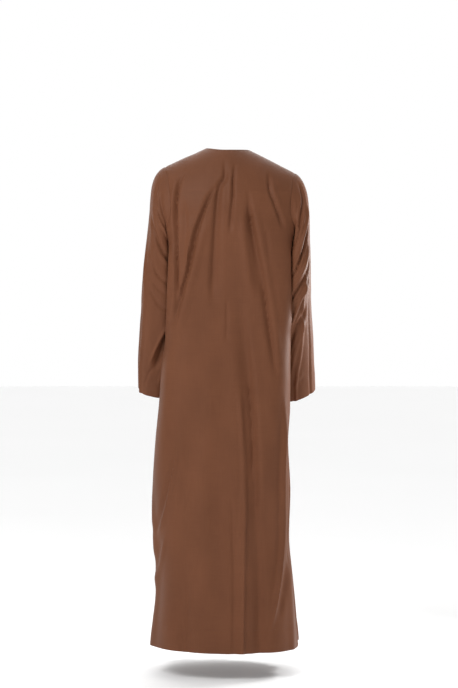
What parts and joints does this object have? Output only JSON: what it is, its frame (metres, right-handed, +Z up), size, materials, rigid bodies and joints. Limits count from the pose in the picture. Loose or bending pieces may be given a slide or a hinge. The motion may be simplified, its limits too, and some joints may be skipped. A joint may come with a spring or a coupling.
{
  "type": "djellaba",
  "caption": "Long collarless robe with straight set-in sleeves, a short buttoned front slit and an open hem, in its hollow worn form.",
  "frame": {"origin": "between the shoulders, at the height of the neck's sides, where the wearer's shoulders carry the cloth", "axes": "+Z up the garment, -Y out of its front, +X to the wearer's left"},
  "size_m": [0.5235, 0.439, 1.4623],
  "materials": {
    "robe_cloth": "smooth fine plain weave with a soft sheen",
    "button_plastic": "semi-gloss"
  },
  "bodies": {
    "root": {"back_panel": "robe_cloth", "back_yoke": "robe_cloth", "front_panel": "robe_cloth", "sleeve_left": "robe_cloth", "sleeve_right": "robe_cloth", "placket_over": "robe_cloth", "placket_under": "robe_cloth", "button_1": "button_plastic", "button_2": "button_plastic", "button_3": "button_plastic", "button_4": "button_plastic"}
  },
  "joints": []
}
